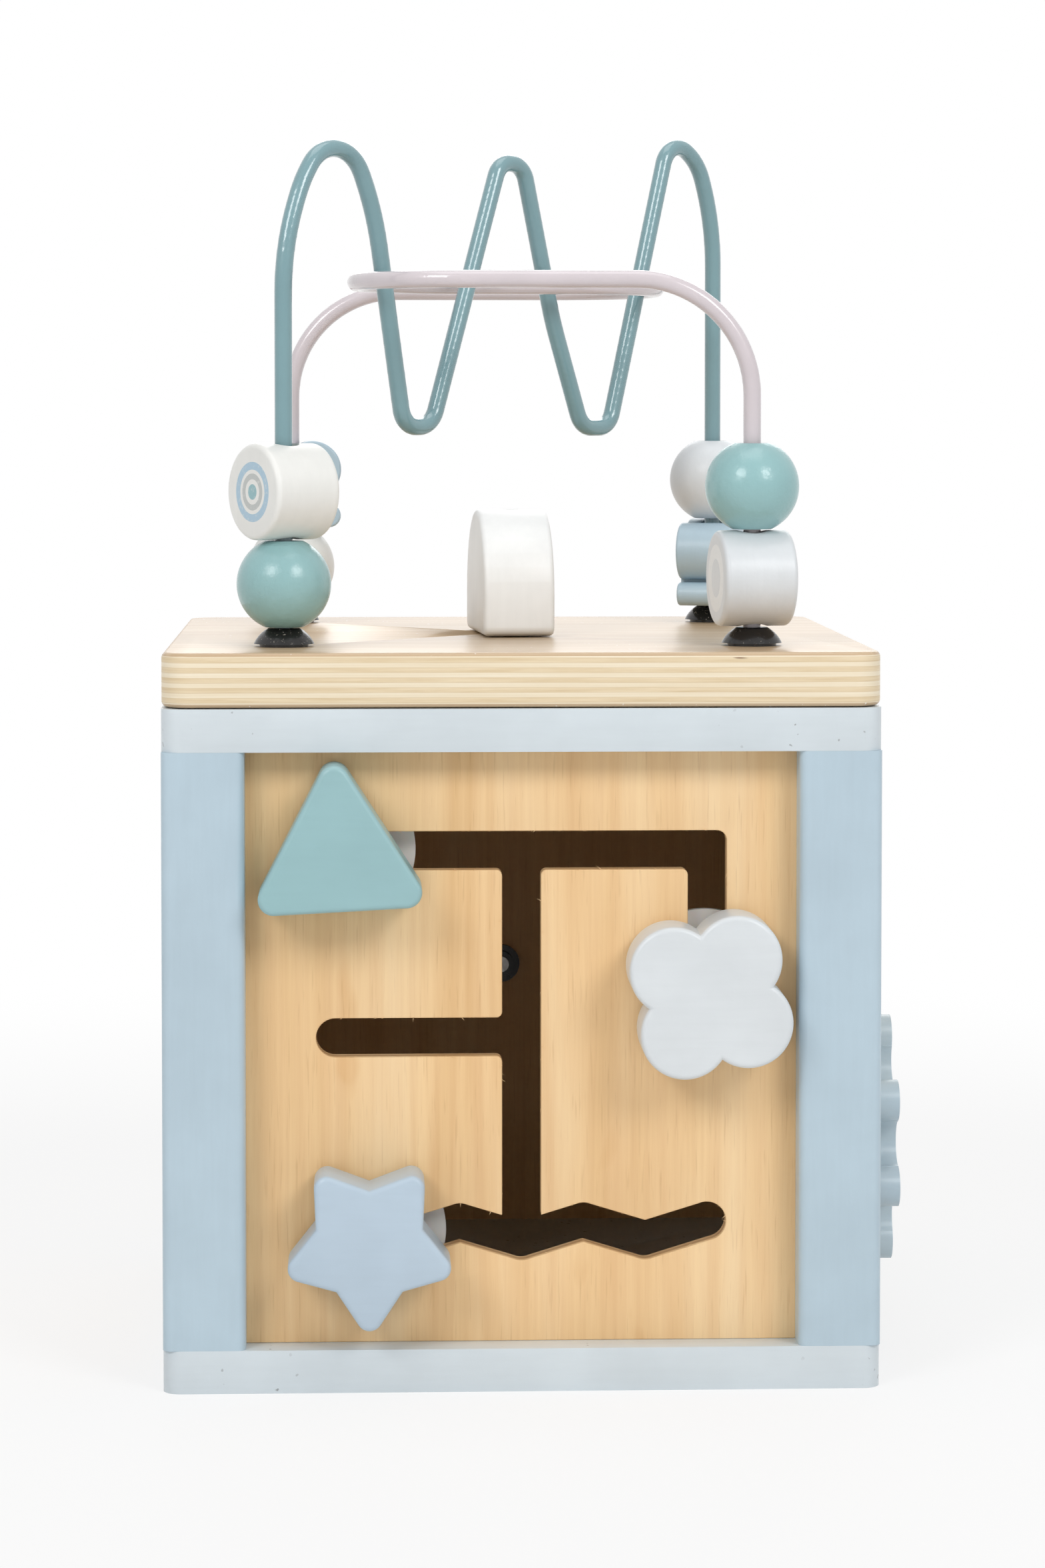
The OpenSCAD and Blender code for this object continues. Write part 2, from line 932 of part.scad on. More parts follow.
module ball_front_left() color(teal) ball(-foot, -foot, ball_first_z);
module drum_front_left() color(white) drum(-foot, -foot, on_ball + drum_d / 2, drum_turn_fl);
module drum_front_right() color(mist) drum(foot, -foot, drum_first_z, drum_turn_fr);
module ball_front_right() color(teal) ball(foot, -foot, on_drum + ball_h / 2);
module ball_back_left() color(white) ball(-foot, foot, ball_first_z);
module cloud_back_left() color(cloud_blue) cloud(-foot, foot, on_ball + cloud_h / 2, cloud_turn_bl);
module cloud_back_right() color(cloud_blue) cloud(foot, foot, cloud_first_z, cloud_turn_br);
module ball_back_right() color(mist) ball(foot, foot, on_cloud + ball_h / 2);

// Arch block on its pin

module arch_block()
  color(white)
    translate([0, 0, arch_z])
      difference() {
        rotate(90 + arch_turn)
          rotate([90, 0, 0])
            translate([0, 0, -arch_t / 2])
              hull() {
                for (a = [0 : arch_step : 180])
                  translate([arch_in * cos(a), arch_h - arch_w / 2 + arch_in * sin(a), 0])
                    puck(arch_corner, arch_t, knob_edge, coarse_step, $fn = coarse_fn);
                for (s = [-1, 1])
                  translate([s * arch_in, arch_corner, 0])
                    puck(arch_corner, arch_t, knob_edge, coarse_step, $fn = coarse_fn);
              }
        translate([0, 0, -over])
          cylinder(d = arch_pin_d + run_fit * 2, h = arch_h + over * 2);
      }

module arch_pin()
  color(steel)
    translate([0, 0, lid_top - pin_deep + snug])
      cylinder(d = arch_pin_d, h = pin_deep + part_gap + arch_h - pin_sunk);

base();
post_front_left();
post_front_right();
post_back_left();
post_back_right();
panel_front();
panel_right();
panel_back();
panel_left();
top_frame();
base_screws();
frame_screws();
slider_triangle();
slider_clover();
slider_star();
knob_triangle();
knob_clover();
knob_star();
screw_triangle();
screw_clover();
screw_star();
gear_front();
gear_rear();
gear_bolts();
gear_washers();
gear_spacers();
hand_hour();
hand_minute();
clock_bolt();
clock_washer();
clock_spacer();
lid();
lid_plug();
wire_wave();
wire_loop();
wire_bushes();
wire_caps();
arch_block();
arch_pin();
ball_front_left();
drum_front_left();
drum_front_right();
ball_front_right();
ball_back_left();
cloud_back_left();
cloud_back_right();
ball_back_right();
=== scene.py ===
# %% [markdown]
# # A wooden activity cube
# The cube is a painted box with a slot maze on its front, gears on its right side and a clock on its
# back. A plywood lid carries two enamelled bead wires and an arch block. Its solids are already built
# to size, so this lesson dresses them: it rounds the sawn edges, prints and paints the wood, and sets
# up the studio.

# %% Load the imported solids
import json
import math

import bmesh
import bpy
from mathutils import Matrix, Vector


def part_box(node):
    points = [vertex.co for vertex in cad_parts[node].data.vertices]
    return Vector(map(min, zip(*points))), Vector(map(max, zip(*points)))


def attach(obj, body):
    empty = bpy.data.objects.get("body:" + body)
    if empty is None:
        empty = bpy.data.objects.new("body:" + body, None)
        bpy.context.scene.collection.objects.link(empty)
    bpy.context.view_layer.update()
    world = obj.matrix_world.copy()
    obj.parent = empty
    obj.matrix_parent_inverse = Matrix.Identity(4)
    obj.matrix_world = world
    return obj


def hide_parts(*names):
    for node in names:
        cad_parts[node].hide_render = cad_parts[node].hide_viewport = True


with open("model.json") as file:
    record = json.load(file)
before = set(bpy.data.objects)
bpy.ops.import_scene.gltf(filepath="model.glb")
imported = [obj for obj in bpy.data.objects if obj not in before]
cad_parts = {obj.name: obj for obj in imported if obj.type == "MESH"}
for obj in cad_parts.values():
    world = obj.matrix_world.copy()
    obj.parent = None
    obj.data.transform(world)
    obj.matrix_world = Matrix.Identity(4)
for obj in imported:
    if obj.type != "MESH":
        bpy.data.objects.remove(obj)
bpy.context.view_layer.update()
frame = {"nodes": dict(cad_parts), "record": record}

MM = 0.001
nodes = frame["nodes"]
body_of = {node: body for body, held in frame["record"]["behaviour"]["bodies"].items() for node in held}

# %% [markdown]
# ## Camera
# The picture was taken from the front with a long lens, a little above the lid and left of the
# middle. A long lens far away keeps the posts nearly upright. Part of the drop is a tilt and part is
# a lens shift: a pure tilt would make the posts lean together, and a pure shift would push the cube
# out of the frame in other views.

# %% Camera
IMAGE_H = 2352
FOCUS_PX = 6184
SENSOR = 36
CAMERA_AT = (-0.0444, -1.2353, 0.2726)
CAMERA_TURN = 2.233
CAMERA_TILT = 2.571
CAMERA_SHIFT = -0.12


def place_camera():
    data = bpy.data.cameras.new("front_camera")
    data.sensor_width = SENSOR
    data.lens = FOCUS_PX * SENSOR / IMAGE_H
    data.shift_y = CAMERA_SHIFT
    camera = bpy.data.objects.new("front_camera", data)
    camera.location = CAMERA_AT
    camera.rotation_euler = (math.radians(90 - CAMERA_TILT), 0, math.radians(-CAMERA_TURN))
    bpy.context.scene.collection.objects.link(camera)
    bpy.context.scene.camera = camera
    return camera


print("lens", round(place_camera().data.lens, 1), "mm")

# %% [markdown]
# ## A small kit for finishes
# Every finish is a node tree on the Principled shader. The same few steps come back in each of them:
# stretch the object's own coordinates along the grain, take a noise, turn it into colours, and mix.
# The class below keeps each of these to one call, so that a finish reads like a recipe. Colours are
# written as the screen shows them.

# %% Node kit


def paint(red, green, blue):
    """A colour written in 0 to 255, as the shader's linear values."""
    def linear(v):
        v /= 255
        return v / 12.92 if v <= 0.04045 else ((v + 0.055) / 1.055) ** 2.4
    return (linear(red), linear(green), linear(blue), 1)


def grey(level):
    return (level, level, level, 1)


class Finish:
    """A material under construction: its tree, its shader and the object's own coordinates."""

    def __init__(self, name):
        self.material = bpy.data.materials.new(name)
        self.material.use_nodes = True
        self.tree = self.material.node_tree
        self.shader = self.tree.nodes["Principled BSDF"]
        self.place = self.tree.nodes.new("ShaderNodeTexCoord").outputs["Object"]
        self.normal = None

    def node(self, kind, **settings):
        made = self.tree.nodes.new(kind)
        for key, value in settings.items():
            setattr(made, key, value)
        return made

    def feed(self, socket, value):
        if isinstance(value, bpy.types.NodeSocket):
            self.tree.links.new(value, socket)
        else:
            socket.default_value = value

    def stretch(self, scale=(1, 1, 1), turn=(0, 0, 0), move=(0, 0, 0)):
        mapping = self.node("ShaderNodeMapping")
        self.feed(mapping.inputs["Vector"], self.place)
        mapping.inputs["Scale"].default_value = scale
        mapping.inputs["Rotation"].default_value = turn
        mapping.inputs["Location"].default_value = move
        return mapping.outputs["Vector"]

    def noise(self, vector, scale, detail=3, roughness=0.55, distortion=0):
        made = self.node("ShaderNodeTexNoise")
        self.feed(made.inputs["Vector"], vector)
        made.inputs["Scale"].default_value = scale
        made.inputs["Detail"].default_value = detail
        made.inputs["Roughness"].default_value = roughness
        made.inputs["Distortion"].default_value = distortion
        return made.outputs["Fac"]

    def ramp(self, value, stops, steps=False):
        made = self.node("ShaderNodeValToRGB")
        made.color_ramp.interpolation = "CONSTANT" if steps else "LINEAR"
        marks = made.color_ramp.elements
        while len(marks) < len(stops):
            marks.new(0.5)
        for mark, (at, colour) in zip(marks, stops):
            mark.position = at
            mark.color = colour if isinstance(colour, tuple) else grey(colour)
        self.feed(made.inputs["Fac"], value)
        return made.outputs["Color"]

    def math(self, operation, a, b=0.0, c=0.0):
        made = self.node("ShaderNodeMath", operation=operation)
        for socket, value in zip(made.inputs, (a, b, c)):
            self.feed(socket, value)
        return made.outputs["Value"]

    def mix(self, share, a, b, blend="MIX"):
        # The Mix node has one A, B and Result for each data type; 6, 7 and 2 are those for colours.
        made = self.node("ShaderNodeMix", data_type="RGBA", blend_type=blend)
        self.feed(made.inputs[0], share)
        self.feed(made.inputs[6], a)
        self.feed(made.inputs[7], b)
        return made.outputs[2]

    def split(self, vector):
        made = self.node("ShaderNodeSeparateXYZ")
        self.feed(made.inputs["Vector"], vector)
        return made.outputs

    def bump(self, height, depth, strength=1.0):
        made = self.node("ShaderNodeBump")
        made.inputs["Strength"].default_value = strength
        made.inputs["Distance"].default_value = depth
        self.feed(made.inputs["Height"], height)
        if self.normal is not None:
            self.feed(made.inputs["Normal"], self.normal)
        self.normal = made.outputs["Normal"]

    def done(self, colour=None, roughness=None, **constants):
        if colour is not None:
            self.feed(self.shader.inputs["Base Color"], colour)
        if roughness is not None:
            self.feed(self.shader.inputs["Roughness"], roughness)
        if self.normal is not None:
            self.feed(self.shader.inputs["Normal"], self.normal)
        for key, value in constants.items():
            self.shader.inputs[key.replace("_", " ")].default_value = value
        return self.material


print("node kit ready")

# %% [markdown]
# ## Painted wood
# Beech and poplar pieces have a thin water-based paint: even in colour, satin, with the grain
# ghosting through as fine ridges and a little orange peel. A flat colour would look like plastic, so
# the paint gets a slow mottling, a grain along the piece's length, a finer pitting, and a gloss that
# changes a little from place to place.

# %% Painted finishes
ALONG = {"x": (6, 70, 70), "y": (70, 6, 70), "z": (70, 70, 6)}


def painted_wood(name, colour, grain="z", peel=0.05 * MM, specks=0.0, print_on=None, matt=0.40):
    f = Finish(name)
    base = paint(*colour)
    dark = tuple(c * 0.95 for c in base[:3]) + (1,)
    light = tuple(min(1, c * 1.03) for c in base[:3]) + (1,)
    mottle = f.ramp(f.noise(f.place, 38, 3), [(0.3, dark), (0.7, light)])
    ghost = f.noise(f.stretch(ALONG[grain]), 7, 4, 0.6, 0.4)
    colour_now = f.mix(0.10, mottle, f.ramp(ghost, [(0.35, 0.80), (0.65, 1.0)]), "MULTIPLY")
    if specks:
        grit = f.ramp(f.noise(f.place, 520, 1, 0.3), [(0.735, 0.0), (0.765, 1.0)])
        patch = f.ramp(f.noise(f.place, 16, 2), [(0.47, 0.0), (0.60, 1.0)])
        share = f.math("MULTIPLY", f.math("MULTIPLY", grit, patch), specks)
        colour_now = f.mix(share, colour_now, paint(96, 92, 90))
    if print_on:
        colour_now = print_on(f, colour_now)
    gloss = f.ramp(f.noise(f.place, 60, 2), [(0.3, matt - 0.05), (0.7, matt + 0.05)])
    f.bump(ghost, peel * 1.2, 0.3)
    f.bump(f.noise(f.place, 620, 2, 0.5), peel, 0.5)
    return f.done(colour_now, gloss, Coat_Weight=0.15, Coat_Roughness=0.22)


print("painted wood ready")

# %% [markdown]
# ## Prints
# Two drums carry printed rings, drawn straight in the material: the object's coordinates are turned
# so that one axis is the drum's own axis, and the distance from that axis picks the colour. A print
# made this way needs no picture file and stays sharp at any size.

# %% Ring prints


def drum_axis(turn):
    angle = math.radians(turn)
    return Vector((-math.sin(angle), -math.cos(angle), 0))


def ring_print(node, turn, inks, reach):
    """Rings on a drum's printed end, from the middle outwards: (share of the radius, colour or None).

    The end lies more than reach from the drum's middle, turned from the front to the left by turn.
    """
    low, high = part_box(node)
    middle = (low + high) / 2
    radius = (high.z - low.z) / 2
    spin = drum_axis(turn).to_track_quat("Z", "Y").inverted()
    move = -(spin @ middle)

    def lay(f, under):
        local = f.stretch(turn=spin.to_euler(), move=move)
        x, y, z = f.split(local)
        out = f.math("SQRT", f.math("ADD", f.math("MULTIPLY", x, x), f.math("MULTIPLY", y, y)))
        share = f.math("DIVIDE", out, radius)
        on_end = f.math("GREATER_THAN", z, reach)
        colour = f.ramp(share, [(at, ink or (0, 0, 0, 1)) for at, ink in inks], steps=True)
        mask = f.ramp(share, [(at, 1.0 if ink else 0.0) for at, ink in inks], steps=True)
        worn = f.ramp(f.noise(f.place, 900, 2), [(0.25, 0.55), (0.45, 1.0)])
        return f.mix(f.math("MULTIPLY", f.math("MULTIPLY", mask, on_end), worn), under, colour)

    return lay


print("prints ready")

# %% [markdown]
# ## Birch plywood
# The panels are thin birch ply with an upright grain: soft broad bands, fine fibres, and short brown
# pores. The cut edges show the middle ply. Wood is best made from noise that is stretched along the
# grain, because rings that are cut flat by a peeling knife have no simple pattern.

# %% Birch finishes
CUBE_HALF = 100 * MM
CORE_FROM = 85.8 * MM
CORE_TO = 88.2 * MM
LID_LAYERS = 11
LAYER_SWAY = 0.7 * MM
LID_SKIN = 1.0 * MM


def birch_panel(name, across):
    """Panel veneer with an upright grain; across is the panel's own thin axis, 0 for X or 1 for Y."""
    f = Finish(name)
    broad = f.noise(f.stretch((26, 26, 2.2)), 1, 3, 0.5, 1.4)
    fibre = f.noise(f.stretch((330, 330, 9)), 1, 4, 0.65, 0.3)
    pore = f.noise(f.stretch((1500, 1500, 60)), 1, 2, 0.5)
    tone = f.ramp(broad, [
        (0.28, paint(235, 197, 145)), (0.5, paint(247, 214, 166)), (0.72, paint(254, 228, 186))])
    streak = f.ramp(fibre, [(0.3, paint(222, 182, 130)), (0.7, paint(255, 244, 226))])
    tone = f.mix(0.35, tone, streak, "MULTIPLY")
    pores = f.ramp(pore, [(0.60, 0.0), (0.70, 1.0)])
    tone = f.mix(f.math("MULTIPLY", pores, 0.22), tone, paint(186, 134, 82))
    stain = f.ramp(f.noise(f.stretch((60, 60, 26)), 1, 2, 0.5, 0.6), [(0.70, 0.0), (0.78, 1.0)])
    tone = f.mix(f.math("MULTIPLY", stain, 0.30), tone, paint(214, 160, 98))
    depth = f.math("ABSOLUTE", f.split(f.place)[across])
    inner = f.ramp(f.math("DIVIDE", depth, CUBE_HALF), [
        (0.0, 0.0), (CORE_FROM / CUBE_HALF, 1.0), (CORE_TO / CUBE_HALF, 0.0)], steps=True)
    tone = f.mix(f.math("MULTIPLY", inner, 0.55), tone, paint(170, 122, 76))
    f.bump(fibre, 0.06 * MM, 0.4)
    f.bump(pore, 0.05 * MM, 0.3)
    gloss = f.ramp(fibre, [(0.3, 0.50), (0.7, 0.62)])
    return f.done(tone, gloss)


def lid_plywood(name):
    """Thick plywood: layers on the sawn edges, and a top veneer that runs from left to right."""
    f = Finish(name)
    low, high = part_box("lid")
    height = f.split(f.place)[2]
    sway = f.math("MULTIPLY", f.math("SUBTRACT", f.noise(f.stretch((9, 9, 60)), 1, 2), 0.5), LAYER_SWAY)
    layer = (high.z - low.z) / LID_LAYERS
    step = f.math("DIVIDE", f.math("SUBTRACT", f.math("ADD", height, sway), low.z), layer)
    odd = f.math("GREATER_THAN", f.math("FRACT", f.math("MULTIPLY", step, 0.5)), 0.5)
    long_grain = f.noise(f.stretch((14, 14, 900)), 1, 4, 0.6)
    end_grain = f.noise(f.stretch((40, 40, 1100)), 1, 4, 0.6)
    long_ply = f.ramp(long_grain, [(0.3, paint(238, 221, 190)), (0.7, paint(248, 236, 212))])
    end_ply = f.ramp(end_grain, [(0.3, paint(222, 199, 160)), (0.7, paint(240, 222, 190))])
    edge = f.mix(odd, long_ply, end_ply)
    part = f.math("FRACT", step)
    glue = f.ramp(part, [(0.0, 1.0), (0.10, 0.0), (0.90, 0.0), (1.0, 1.0)])
    edge = f.mix(f.math("MULTIPLY", glue, 0.38), edge, paint(196, 164, 118))
    gap = f.noise(f.stretch((42, 42, 260), move=(0.31, 0.77, 0.2)), 1, 1, 0.4)
    gap = f.ramp(gap, [(0.78, 0.0), (0.80, 1.0)])
    edge = f.mix(f.math("MULTIPLY", gap, odd), edge, paint(104, 66, 34))
    veneer = f.noise(f.stretch((3, 46, 46)), 1, 4, 0.6, 1.1)
    fibre = f.noise(f.stretch((14, 620, 620)), 1, 3, 0.6)
    top = f.ramp(veneer, [
        (0.3, paint(200, 174, 141)), (0.55, paint(213, 189, 157)), (0.75, paint(224, 204, 175))])
    streak = f.ramp(fibre, [(0.3, paint(214, 178, 132)), (0.7, paint(255, 250, 240))])
    top = f.mix(0.25, top, streak, "MULTIPLY")
    dust = f.ramp(f.noise(f.place, 700, 1, 0.4), [(0.72, 0.0), (0.76, 0.7)])
    patch = f.ramp(f.noise(f.place, 22, 2), [(0.5, 0.0), (0.62, 1.0)])
    top = f.mix(f.math("MULTIPLY", dust, patch), top, paint(250, 247, 242))
    from_middle = f.math("ABSOLUTE", f.math("SUBTRACT", height, (low.z + high.z) / 2))
    on_face = f.math("GREATER_THAN", from_middle, (high.z - low.z) / 2 - LID_SKIN)
    f.bump(f.mix(on_face, part, fibre), 0.03 * MM, 0.25)
    gloss = f.mix(on_face, grey(0.48), grey(0.27))
    return f.done(f.mix(on_face, edge, top), gloss)


print("birch ready")

# %% [markdown]
# ## Enamel, plastic and steel
# The wires have a thick glossy enamel that pools a little, so a long soft ripple is enough. The black
# bushes are moulded plastic that holds pale dust. The sliders are milky plastic, and the fasteners
# are zinc-plated steel.

# %% Wire, plastic and steel finishes


def enamel(name, colour):
    f = Finish(name)
    base = paint(*colour)
    dark = tuple(c * 0.94 for c in base[:3]) + (1,)
    tone = f.ramp(f.noise(f.place, 70, 2), [(0.3, dark), (0.7, base)])
    f.bump(f.noise(f.place, 40, 1), 0.03 * MM, 0.1)
    gloss = f.ramp(f.noise(f.place, 90, 2), [(0.3, 0.20), (0.7, 0.27)])
    return f.done(tone, gloss, Coat_Weight=0.8, Coat_Roughness=0.06)


def dusty_plastic(name):
    f = Finish(name)
    dust = f.ramp(f.noise(f.place, 1500, 2, 0.6), [(0.64, 0.0), (0.72, 1.0)])
    dust = f.math("MULTIPLY", dust, f.ramp(f.noise(f.place, 120, 2), [(0.42, 0.0), (0.60, 0.75)]))
    f.bump(f.noise(f.place, 700, 2), 0.04 * MM, 0.4)
    colour = f.mix(dust, paint(24, 22, 22), paint(190, 184, 174))
    gloss = f.mix(dust, grey(0.20), grey(0.8))
    return f.done(colour, gloss)


def milky_plastic(name):
    f = Finish(name)
    tone = f.ramp(f.noise(f.place, 90, 2), [(0.3, paint(214, 217, 218)), (0.7, paint(232, 234, 234))])
    f.bump(f.noise(f.place, 800, 2), 0.04 * MM, 0.4)
    return f.done(tone, f.ramp(f.noise(f.place, 140, 2), [(0.3, 0.30), (0.7, 0.42)]),
                  Subsurface_Weight=0.25, Subsurface_Scale=2 * MM)


def zinc_steel(name):
    f = Finish(name)
    tone = f.ramp(f.noise(f.place, 300, 3), [(0.3, paint(168, 168, 166)), (0.7, paint(206, 206, 204))])
    f.bump(f.noise(f.place, 1800, 2), 0.02 * MM, 0.4)
    return f.done(tone, f.ramp(f.noise(f.place, 500, 2), [(0.3, 0.26), (0.7, 0.42)]), Metallic=1.0)


print("enamel, plastic and steel ready")

# %% [markdown]
# ## Which piece wears which finish
# The pale boards, the blue posts, the teal balls and the wires repeat a handful of colours. A table
# keeps them together. The printed drums have finishes of their own, because each print is theirs
# alone.

# %% Make the finishes
TEAL_INK = paint(150, 190, 196)
GREY_INK = paint(196, 200, 198)
BLUE_INK = paint(176, 204, 222)
PALE_INK = paint(238, 240, 240)
DRUM_FACE = 9.6 * MM
LEFT_DRUM_TURN = 56
RIGHT_DRUM_TURN = 82
target = ring_print("drum_front_left", LEFT_DRUM_TURN, [
    (0.0, TEAL_INK), (0.16, None), (0.26, GREY_INK), (0.38, None), (0.46, BLUE_INK), (0.62, None),
], DRUM_FACE)
hoop = ring_print("drum_front_right", RIGHT_DRUM_TURN, [
    (0.0, None), (0.40, PALE_INK), (0.70, None),
], DRUM_FACE)

finishes = {
    "board": painted_wood("board_mist", (214, 223, 228), "x", specks=0.8),
    "post": painted_wood("post_blue", (187, 207, 219), "z"),
    "triangle": painted_wood("knob_teal", (154, 193, 197), "x"),
    "clover": painted_wood("knob_pearl", (223, 228, 231), "x"),
    "star": painted_wood("knob_sky", (189, 207, 222), "x"),
    "gear_sky": painted_wood("gear_sky", (192, 211, 222), "y"),
    "gear_teal": painted_wood("gear_teal", (157, 197, 200), "y"),
    "bead_teal": painted_wood("bead_teal", (150, 192, 194), "z", peel=0.20 * MM, matt=0.24),
    "bead_white": painted_wood("bead_white", (240, 240, 236), "z", peel=0.08 * MM),
    "bead_mist": painted_wood("bead_mist", (224, 228, 231), "z", peel=0.08 * MM),
    "cloud": painted_wood("cloud_blue", (182, 205, 218), "z", peel=0.08 * MM),
    "drum_target": painted_wood("drum_target", (240, 240, 236), "z", peel=0.08 * MM, print_on=target),
    "drum_hoop": painted_wood("drum_hoop", (224, 228, 231), "z", peel=0.08 * MM, print_on=hoop),
    "arch": painted_wood("arch_white", (250, 251, 250), "z", peel=0.02 * MM, matt=0.45),
    "hand_blue": painted_wood("hand_blue", (150, 182, 204), "z"),
    "front_back": birch_panel("birch_front_back", 1),
    "sides": birch_panel("birch_sides", 0),
    "lid": lid_plywood("birch_lid"),
    "wave": enamel("enamel_teal", (122, 160, 167)),
    "loop": enamel("enamel_rose", (217, 207, 211)),
    "black": dusty_plastic("plastic_black"),
    "milk": milky_plastic("plastic_milk"),
    "steel": zinc_steel("zinc_steel"),
}
print("finishes", len(finishes))

# %% Hand the finishes to the solids
wears = {
    "board": ["base", "top_frame"],
    "post": ["post_front_left", "post_front_right", "post_back_left", "post_back_right"],
    "front_back": ["panel_front", "panel_back", "lid_plug"],
    "sides": ["panel_left", "panel_right"],
    "lid": ["lid"],
    "triangle": ["knob_triangle"],
    "clover": ["knob_clover"],
    "star": ["knob_star"],
    "gear_sky": ["gear_front"],
    "gear_teal": ["gear_rear", "hand_hour"],
    "hand_blue": ["hand_minute"],
    "bead_teal": ["ball_front_left", "ball_front_right"],
    "bead_white": ["ball_back_left"],
    "bead_mist": ["ball_back_right"],
    "drum_target": ["drum_front_left"],
    "drum_hoop": ["drum_front_right"],
    "cloud": ["cloud_back_left", "cloud_back_right"],
    "arch": ["arch_block"],
    "wave": ["wire_wave"],
    "loop": ["wire_loop"],
    "black": ["wire_bushes", "wire_caps", "gear_washers", "gear_spacers", "clock_washer", "clock_spacer"],
    "milk": ["slider_triangle", "slider_clover", "slider_star"],
    "steel": ["base_screws", "frame_screws", "gear_bolts", "clock_bolt", "arch_pin",
              "screw_triangle", "screw_clover", "screw_star"],
}
finish_of = {node: finishes[look] for look, dressed in wears.items() for node in dressed}


def dress(piece, material):
    piece.data.materials.clear()
    piece.data.materials.append(material)


for node, material in finish_of.items():
    dress(nodes[node], material)
print("dressed", len(finish_of), "of", len(nodes))

# %% [markdown]
# ## Rounded edges
# Sawn boards, gears and hands are sanded before they are painted, so no edge is sharp: each catches a
# thin line of light. The solids of these pieces have square edges. A copy is merged, its flat faces
# are joined, and its sharp edges are bevelled. The knobs, the arch and the lid already have round edges
# in facets, so their copies are only smoothed.

# %% Sanded copies
WELD = 0.002 * MM
FLAT = math.radians(1)
SHARP = math.radians(30)
SMOOTH = math.radians(40)
EDGE_OF = {
    "base": 1.1 * MM,
    "top_frame": 1.1 * MM,
    "gear_front": 1.8 * MM,
    "gear_rear": 1.8 * MM,
    "hand_hour": 0.8 * MM,
    "hand_minute": 0.8 * MM,
    "knob_triangle": 0,
    "knob_clover": 0,
    "knob_star": 0,
    "arch_block": 0,
    "lid": 0,
    "panel_front": 0.35 * MM,
}


def stand_for(piece, node):
    """Gives a piece the finish and the body of the solid that it replaces, and hides that solid."""
    dress(piece, finish_of[node])
    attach(piece, body_of[node])
    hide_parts(node)


def sanded(node, edge):
    """A smooth-shaded copy of a solid with its sharp edges rounded, which stands for the solid."""
    mesh = nodes[node].data.copy()
    mesh.name = node + "_sanded"
    shape = bmesh.new()
    shape.from_mesh(mesh)
    bmesh.ops.remove_doubles(shape, verts=shape.verts, dist=WELD)
    bmesh.ops.dissolve_limit(shape, angle_limit=FLAT, verts=shape.verts, edges=shape.edges)
    if edge:
        hard = [e for e in shape.edges if e.is_manifold and e.calc_face_angle() > SHARP]
        bmesh.ops.bevel(shape, geom=hard, offset=edge, offset_type="OFFSET", segments=3, profile=0.5,
                        affect="EDGES", clamp_overlap=True)
    bmesh.ops.recalc_face_normals(shape, faces=shape.faces)
    shape.to_mesh(mesh)
    shape.free()
    mesh.shade_smooth()
    mesh.set_sharp_from_angle(angle=SMOOTH)
    piece = bpy.data.objects.new(node + "_sanded", mesh)
    bpy.context.scene.collection.objects.link(piece)
    stand_for(piece, node)
    print(node, len(mesh.polygons), "faces")


for node, edge in EDGE_OF.items():
    sanded(node, edge)

# %% [markdown]
# The wires' solids come as long thin triangles, and their shading breaks up in the bends. A fine even
# mesh of the same tube shades smoothly: the copy is remeshed in small cells and then relaxed a little.
# Relaxing thins a tube, so the last step swells it back to the solid's thickness.

# %% Even meshes for the wires
WIRE_CELL = 0.55 * MM
RELAX_STEPS = 6
RELAX_LOSS = 0.08 * MM


def even_tube(node):
    """A copy of a wire in small even faces, which stands for the solid."""
    piece = bpy.data.objects.new(node + "_even", nodes[node].data.copy())
    bpy.context.scene.collection.objects.link(piece)
    merge = piece.modifiers.new("merge", "WELD")
    merge.merge_threshold = WELD
    cells = piece.modifiers.new("cells", "REMESH")
    cells.mode = "VOXEL"
    cells.voxel_size = WIRE_CELL
    relax = piece.modifiers.new("relax", "SMOOTH")
    relax.iterations = RELAX_STEPS
    swell = piece.modifiers.new("swell", "DISPLACE")
    swell.mid_level = 0
    swell.strength = RELAX_LOSS
    ready = piece.evaluated_get(bpy.context.evaluated_depsgraph_get())
    mesh = bpy.data.meshes.new_from_object(ready)
    piece.modifiers.clear()
    piece.data = mesh
    mesh.shade_smooth()
    stand_for(piece, node)
    print(node, len(mesh.polygons), "faces", [round(v / MM, 1) for v in piece.dimensions])


for node in ("wire_wave", "wire_loop"):
    even_tube(node)

# %% [markdown]
# ## The clock's hours
# Twelve printed dots ring the clock, with larger ones at the quarters. They sit at equal angles,
# which is a job for Geometry Nodes: a circle of twelve points, a small disc on each, and a scale that
# depends on the point's number.

# %% Geometry Nodes helpers


def new_tree(name, inputs):
    """An empty tree with a geometry output and named inputs: {name: (socket type, value)}."""
    tree = bpy.data.node_groups.new(name, "GeometryNodeTree")
    tree.interface.new_socket("Geometry", in_out="INPUT", socket_type="NodeSocketGeometry")
    tree.interface.new_socket("Geometry", in_out="OUTPUT", socket_type="NodeSocketGeometry")
    for label, (kind, value) in inputs.items():
        socket = tree.interface.new_socket(label, in_out="INPUT", socket_type=kind)
        if value is not None:
            socket.default_value = value
    return tree, tree.nodes.new("NodeGroupInput"), tree.nodes.new("NodeGroupOutput")


